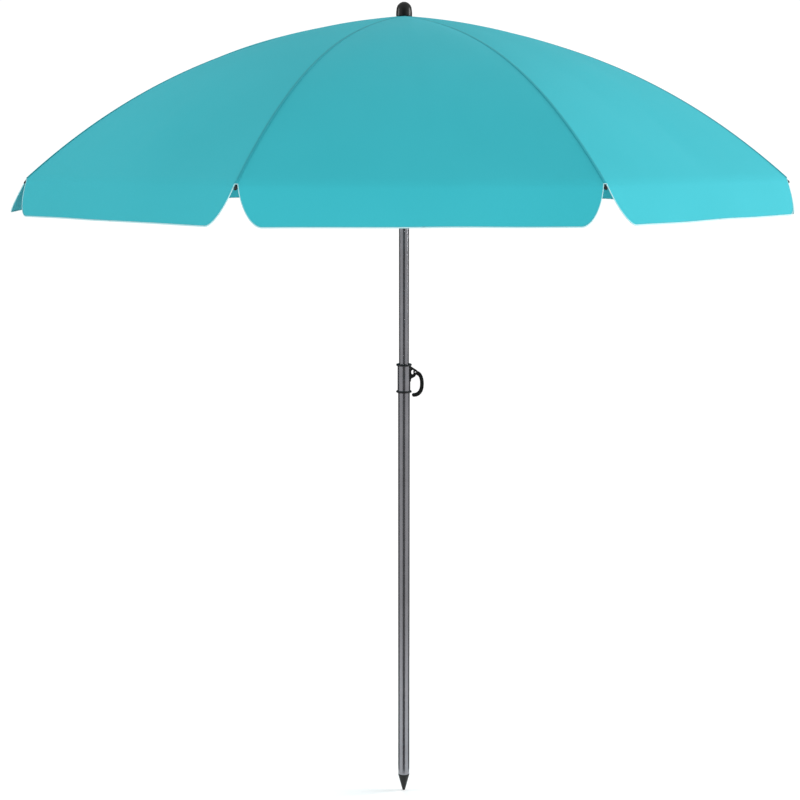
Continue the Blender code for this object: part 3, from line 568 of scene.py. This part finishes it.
def sweep(name, path, sections, turn):
    """A closed bar with a ring of offsets, and their UV x, at each path point; UV y is metres along it."""
    mesh = bpy.data.meshes.new(name)
    bar = bmesh.new()
    uv = bar.loops.layers.uv.new("metres")
    rings, along, place = [], [], 0.0
    for k, (point, ring) in enumerate(zip(path, sections)):
        place += (point - path[k - 1]).length if k else 0.0
        along.append(place)
        rings.append([(bar.verts.new(turn @ (point + offset)), across) for offset, across in ring])
    count = len(rings[0])
    for k in range(len(rings) - 1):
        for j in range(count):
            i = (j + 1) % count
            corners = [(k, j), (k, i), (k + 1, i), (k + 1, j)]
            face = bar.faces.new([rings[a][b][0] for a, b in corners])
            for loop, (a, b) in zip(face.loops, corners):
                loop[uv].uv = (rings[a][b][1], along[a])
    for ring in (rings[0], rings[-1]):
        bar.faces.new([vertex for vertex, _ in ring])
    bmesh.ops.recalc_face_normals(bar, faces=bar.faces)
    for face in bar.faces:
        face.smooth = True
    bar.to_mesh(mesh)
    bar.free()
    return mesh


def travel_at(path, k):
    """The direction of a path at its point k."""
    return (path[min(k + 1, len(path) - 1)] - path[max(k - 1, 0)]).normalized()


def tape_ring(outward, normal, inner, outer, low, high):
    """A flat rounded section from inner to outer along outward, and from low to high along normal."""
    soft = min(outer + inner, high - low) * TAPE_ROUNDING
    corners = [
        (-inner, low + soft), (-inner, high - soft), (-inner + soft, high), (outer - soft, high),
        (outer, high - soft), (outer, low + soft), (outer - soft, low), (-inner + soft, low),
    ]
    middle = (outer - inner) / 2
    return [(outward * a + normal * b, a - middle) for a, b in corners]


# ---------------------------------------------------------------- swept pieces, as a path and its sections
def seam_tape(rib):
    """The felled seam over the rib, from under the cap to the canopy's corner."""
    path, sections = [], []
    across = Vector((0, 1, 0))
    for row in range(SEAM_STEPS + 1):
        share = SEAM_START + (SEAM_END - SEAM_START) * row / SEAM_STEPS
        path.append(gore_point(rib, share, 0.0, 1))
        half = SEAM_HALF_WIDTH * min(1.0, SEAM_CROWN_WIDTH + share * SEAM_WIDENING)
        sections.append(tape_ring(across, rib_normal(share), half, half, SEAM_LOW, SEAM_HIGH))
    return path, sections


def half_binding(rib, side):
    """One half flap's edge from the middle of the gore to the rib: points, points inside it, and widths."""
    bottom = notch_edge(VALANCE_DEPTH)
    hem = [(VALANCE_DEPTH, HEM_HALF + (bottom - HEM_HALF) * k / BINDING_HEM_STEPS)
           for k in range(BINDING_HEM_STEPS)]
    angles = [pi / 2 * (1 - k / BINDING_NOTCH_STEPS) for k in range(BINDING_NOTCH_STEPS + 1)]
    corner = [(VALANCE_DEPTH * sin(a), notch_edge(VALANCE_DEPTH * sin(a))) for a in angles]
    points, inside, widths = [], [], []
    for depth, across in hem + corner:
        points.append(flap_point(rib, depth, across, side))
        inside.append(flap_point(rib, max(0.0, depth - BINDING_LOOK_IN),
                                 min(HEM_HALF, across + BINDING_LOOK_IN), side))
        wider = (BINDING_INNER - BINDING_INNER_AT_NOTCH) * (depth / VALANCE_DEPTH) ** 4
        widths.append(BINDING_INNER_AT_NOTCH + wider)
    turn_over = NOTCH_TOP * BINDING_TURN_WIDTH
    points.append(gore_point(rib, BINDING_TURN_SHARE, turn_over, side))
    inside.append(gore_point(rib, BINDING_TURN_INSIDE, turn_over, side))
    widths.append(BINDING_INNER_AT_NOTCH)
    return points, inside, widths


def binding(rib):
    """The bound edge: along the lower edge of one half flap, over the notch at the rib, along the other."""
    first, second = half_binding(rib, -1), half_binding(rib, 1)
    path, inside, widths = [a + b[::-1] for a, b in zip(first, second)]
    sections = []
    for k, point in enumerate(path):
        travel = travel_at(path, k)
        inward = inside[k] - point
        inward = (inward - travel * inward.dot(travel)).normalized()
        normal = travel.cross(inward)
        if normal.z < 0:
            normal.negate()
        sections.append(tape_ring(-inward, normal, widths[k], BINDING_OUTER,
                                  -CLOTH_THICKNESS - BINDING_PROUD, BINDING_PROUD))
    return path, sections


def rib_pocket(rib):
    """The sewn pocket that holds the end of the rib: its top follows the cloth, and it bags below."""
    path, sections = [], []
    for k in range(POCKET_STEPS + 1):
        t = k / POCKET_STEPS
        share = POCKET_START + POCKET_LENGTH * t
        normal = rib_normal(share)
        wide = POCKET_HALF_WIDTH - POCKET_TAPER * t ** POCKET_TAPER_POWER
        centre = gore_point(rib, share, 0.0, 1)
        upper, lower = [], []
        for j in range(2 * POCKET_HALF_COLUMNS + 1):
            y = wide * (j / POCKET_HALF_COLUMNS - 1)
            on_cloth = gore_point(rib, share, abs(y), 1 if y > 0 else -1)
            point = on_cloth - normal * (CLOTH_THICKNESS + POCKET_GAP)
            bag = POCKET_HEM + POCKET_DEPTH * (1 - (y / wide) ** 2) ** POCKET_BAG_POWER
            upper.append((point, y))
            lower.append((point - normal * bag, y))
        path.append(centre)
        sections.append([(point - centre, y) for point, y in upper + lower[::-1]])
    return path, sections


def rib_wire(rib):
    """The round wire rib, from its eye on the crown wire to its end in the pocket."""
    path = [
        Vector((HINGE_RADIUS - RIB_EYE_INSIDE, 0, RIB_HINGE_HEIGHT)),
        Vector((HINGE_RADIUS + RIB_EYE_OUTSIDE, 0, RIB_HINGE_HEIGHT)),
    ]
    for row in range(1, RIB_WIRE_STEPS + 1):
        share = RIB_WIRE_START + RIB_WIRE_LENGTH * row / RIB_WIRE_STEPS
        path.append(gore_point(rib, share, 0.0, 1) - rib_normal(share) * RIB_BELOW_CLOTH)
    across = Vector((0, 1, 0))
    angles = [2 * pi * j / RIB_WIRE_SIDES for j in range(RIB_WIRE_SIDES)]
    sections = []
    for k in range(len(path)):
        up = travel_at(path, k).cross(across)
        sections.append([
            (across * RIB_WIRE_RADIUS * cos(a) + up * RIB_WIRE_RADIUS * sin(a), 0.0) for a in angles
        ])
    return path, sections


# ---------------------------------------------------------------- canopy and ribs
def finish_object(name, mesh, look, body, replaced=()):
    made = bpy.data.objects.new(name, mesh)
    bpy.context.scene.collection.objects.link(made)
    made.data.materials.append(look)
    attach(made, body)
    if replaced:
        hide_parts(*replaced)
    return made


def swept_piece(name, rib, shape, look, replaced=()):
    """A piece swept along or beside a rib, which rides on it."""
    path, sections = shape
    number = str(rib + 1)
    mesh = sweep(name + number, path, sections, Matrix.Rotation(rib_angle(rib), 4, "Z"))
    return finish_object(name + number, mesh, look, "rib_" + number, replaced)


def fold_with(made):
    """Gives the piece its own copy of its mesh."""
    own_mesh(made)


def build_ribs():
    for rib in range(GORES):
        swept_piece("rib_wire_", rib, rib_wire(rib), WIRE, ["rib_" + str(rib + 1)])


def build_canopy():
    for rib in range(GORES):
        number = str(rib + 1)
        name = "canopy_cloth_" + number
        mesh = closed_shell(name, panel_sheet(rib), Matrix.Rotation(rib_angle(rib), 4, "Z"))
        replaced = ["canopy_panel_" + number]
        cloth = finish_object(name, mesh, CLOTH, "rib_" + number, replaced)
        seam = swept_piece("canopy_seam_", rib, seam_tape(rib), SEAM_PAINTED_SHADOW)
        edge = swept_piece("canopy_binding_", rib, binding(rib), BINDING)
        pocket = swept_piece("rib_pocket_", rib, rib_pocket(rib), POCKET_PAINTED_SHADE)
        fold_with(cloth)
        fold_with(edge)
        fold_with(pocket)


# ---------------------------------------------------------------- hardware
def smoothing_group(angle):
    """Welds a solid's corners and shades it round, except across edges sharper than the angle."""
    group = bpy.data.node_groups.new("soft_shading", "GeometryNodeTree")
    group.interface.new_socket("Geometry", in_out="INPUT", socket_type="NodeSocketGeometry")
    group.interface.new_socket("Geometry", in_out="OUTPUT", socket_type="NodeSocketGeometry")
    nodes, links = group.nodes, group.links
    start, end = nodes.new("NodeGroupInput"), nodes.new("NodeGroupOutput")
    weld = nodes.new("GeometryNodeMergeByDistance")
    weld.inputs["Distance"].default_value = WELD_DISTANCE
    whole = nodes.new("GeometryNodeSetShadeSmooth")
    edges = nodes.new("GeometryNodeSetShadeSmooth")
    edges.domain = "EDGE"
    edges.inputs["Shade Smooth"].default_value = False
    bend = nodes.new("GeometryNodeInputMeshEdgeAngle")
    sharp = nodes.new("FunctionNodeCompare")
    sharp.data_type = "FLOAT"
    sharp.operation = "GREATER_THAN"
    sharp.inputs["B"].default_value = angle
    links.new(start.outputs[0], weld.inputs["Geometry"])
    links.new(weld.outputs["Geometry"], whole.inputs["Geometry"])
    links.new(whole.outputs["Geometry"], edges.inputs["Geometry"])
    links.new(bend.outputs["Unsigned Angle"], sharp.inputs["A"])
    links.new(sharp.outputs["Result"], edges.inputs["Selection"])
    links.new(edges.outputs["Geometry"], end.inputs[0])
    return group


def round_edges(made):
    weld = made.modifiers.new("joined", "WELD")
    weld.merge_threshold = WELD_DISTANCE
    rounding = made.modifiers.new("rounded_edges", "BEVEL")
    rounding.width = EDGE_ROUNDING
    rounding.segments = 3
    rounding.limit_method = "ANGLE"
    rounding.angle_limit = ROUNDED_ABOVE
    rounding.use_clamp_overlap = True


def finish_nodes():
    """Gives every node that still shows its material and soft shading, and some of them rounded edges."""
    group = smoothing_group(SMOOTH_BELOW)
    slots = {s["node"]: s["material_slot"] for s in frame["record"]["subparts"]}
    for name, made in frame["nodes"].items():
        if made.hide_render:
            continue
        look = SLOT_LOOKS[slots[name]]
        if not made.material_slots:
            made.data.materials.append(look)
        for place in made.material_slots:
            place.material = look
        if name in ROUNDED:
            round_edges(made)
        shade = made.modifiers.new("soft_shading", "NODES")
        shade.node_group = group


# ---------------------------------------------------------------- stage, light and camera
def matt_material(name, colour):
    made, nodes, links, shader = new_material(name)
    place = nodes.new("ShaderNodeTexCoord")
    dust = noise_node(nodes, links, place.outputs["Object"], scale=1.5, detail=3.0)
    links.new(ramp_node(nodes, links, dust, [(0.3, [c * 0.99 for c in colour]), (0.7, colour)]),
              shader.inputs["Base Color"])
    shader.inputs["Roughness"].default_value = 0.9
    return made


def floor_material():
    """Pale matt floor that thins out to nothing towards its rim, so it has no horizon."""
    made = matt_material("pale_floor", (0.95, 0.95, 0.95))
    nodes, links = made.node_tree.nodes, made.node_tree.links
    place = nodes.new("ShaderNodeTexCoord")
    reach = add_node(nodes, "ShaderNodeVectorMath", operation="LENGTH")
    links.new(place.outputs["Object"], reach.inputs[0])
    fade = add_node(nodes, "ShaderNodeMapRange", interpolation_type="SMOOTHSTEP")
    fade.inputs["From Min"].default_value = FLOOR_SOLID_RADIUS
    fade.inputs["From Max"].default_value = FLOOR_RADIUS
    fade.inputs["To Min"].default_value = 1.0
    fade.inputs["To Max"].default_value = 0.0
    links.new(reach.outputs["Value"], fade.inputs["Value"])
    links.new(fade.outputs["Result"], nodes["Principled BSDF"].inputs["Alpha"])
    return made


def stage_object(name, build, material):
    mesh = bpy.data.meshes.new(name)
    shape = bmesh.new()
    build(shape)
    shape.to_mesh(mesh)
    shape.free()
    made = bpy.data.objects.new(name, mesh)
    bpy.context.scene.collection.objects.link(made)
    made.data.materials.append(material)
    return made


def floor_shape(shape):
    bmesh.ops.create_circle(shape, cap_ends=True, segments=FLOOR_SIDES, radius=FLOOR_RADIUS)


def flag_shape(middle, half_width):
    """A black card on the floor that turns up into a wall, over this sector of directions from the pole."""
    def build(shape):
        rows = []
        for k in range(FLAG_STEPS + 1):
            angle = middle + half_width * (2 * k / FLAG_STEPS - 1)
            away = Vector((cos(angle), sin(angle), 0))
            rows.append([shape.verts.new(point) for point in (
                away * FLAG_INNER_RADIUS + Vector((0, 0, FLAG_ABOVE_FLOOR)),
                away * FLAG_OUTER_RADIUS + Vector((0, 0, FLAG_ABOVE_FLOOR)),
                away * FLAG_OUTER_RADIUS + Vector((0, 0, FLAG_HEIGHT)),
            )])
        for first, second in zip(rows, rows[1:]):
            for k in range(2):
                shape.faces.new([first[k], first[k + 1], second[k + 1], second[k]])
    return build


def build_stage():
    """The floor, and two black cards that only reflections show, which give the tubes their dark edges."""
    floor = stage_object("floor", floor_shape, floor_material())
    floor.location = (0, 0, -FLOOR_BELOW)
    for name, middle, half_width in FLAGS:
        black = matt_material(name + "_black", (0.03, 0.03, 0.03))
        flag = stage_object(name, flag_shape(middle, half_width), black)
        flag.visible_camera = False
        flag.visible_shadow = False
        flag.visible_diffuse = False
        flag.visible_transmission = False


def area_light(name, place, size, power, in_gloss):
    data = bpy.data.lights.new(name, "AREA")
    data.shape = "RECTANGLE"
    data.size, data.size_y = size
    data.energy = power
    made = bpy.data.objects.new(name, data)
    bpy.context.scene.collection.objects.link(made)
    made.location = place
    made.visible_glossy = in_gloss
    made.rotation_euler = (Vector(LIGHT_AIM) - Vector(place)).to_track_quat("-Z", "Y").to_euler()


def build_light():
    """An even white studio, brighter where it is seen directly than in what it lights, and soft lights."""
    world = bpy.data.worlds.new("studio")
    bpy.context.scene.world = world
    world.use_nodes = True
    nodes, links = world.node_tree.nodes, world.node_tree.links
    back = nodes["Background"]
    back.inputs["Color"].default_value = (1.0, 1.0, 1.0, 1.0)
    path = nodes.new("ShaderNodeLightPath")
    links.new(range_node(nodes, links, path.outputs["Is Camera Ray"], STUDIO_LIGHT, STUDIO_BACKDROP),
              back.inputs["Strength"])
    for light in LIGHTS:
        area_light(*light)


def build_camera():
    data = bpy.data.cameras.new("camera")
    data.lens = CAMERA_LENS
    data.sensor_width = CAMERA_SENSOR
    made = bpy.data.objects.new("camera", data)
    bpy.context.scene.collection.objects.link(made)
    away = Vector((-sin(CAMERA_TURN), -cos(CAMERA_TURN), 0)) * CAMERA_DISTANCE
    made.location = away + Vector((0, 0, CAMERA_HEIGHT))
    made.rotation_euler = (CAMERA_PITCH, 0, -CAMERA_TURN + CAMERA_PAN)
    bpy.context.scene.camera = made


build_ribs()
build_canopy()
finish_nodes()
build_stage()
build_light()
build_camera()
bpy.context.scene.view_settings.view_transform = "Standard"
bpy.context.view_layer.update()
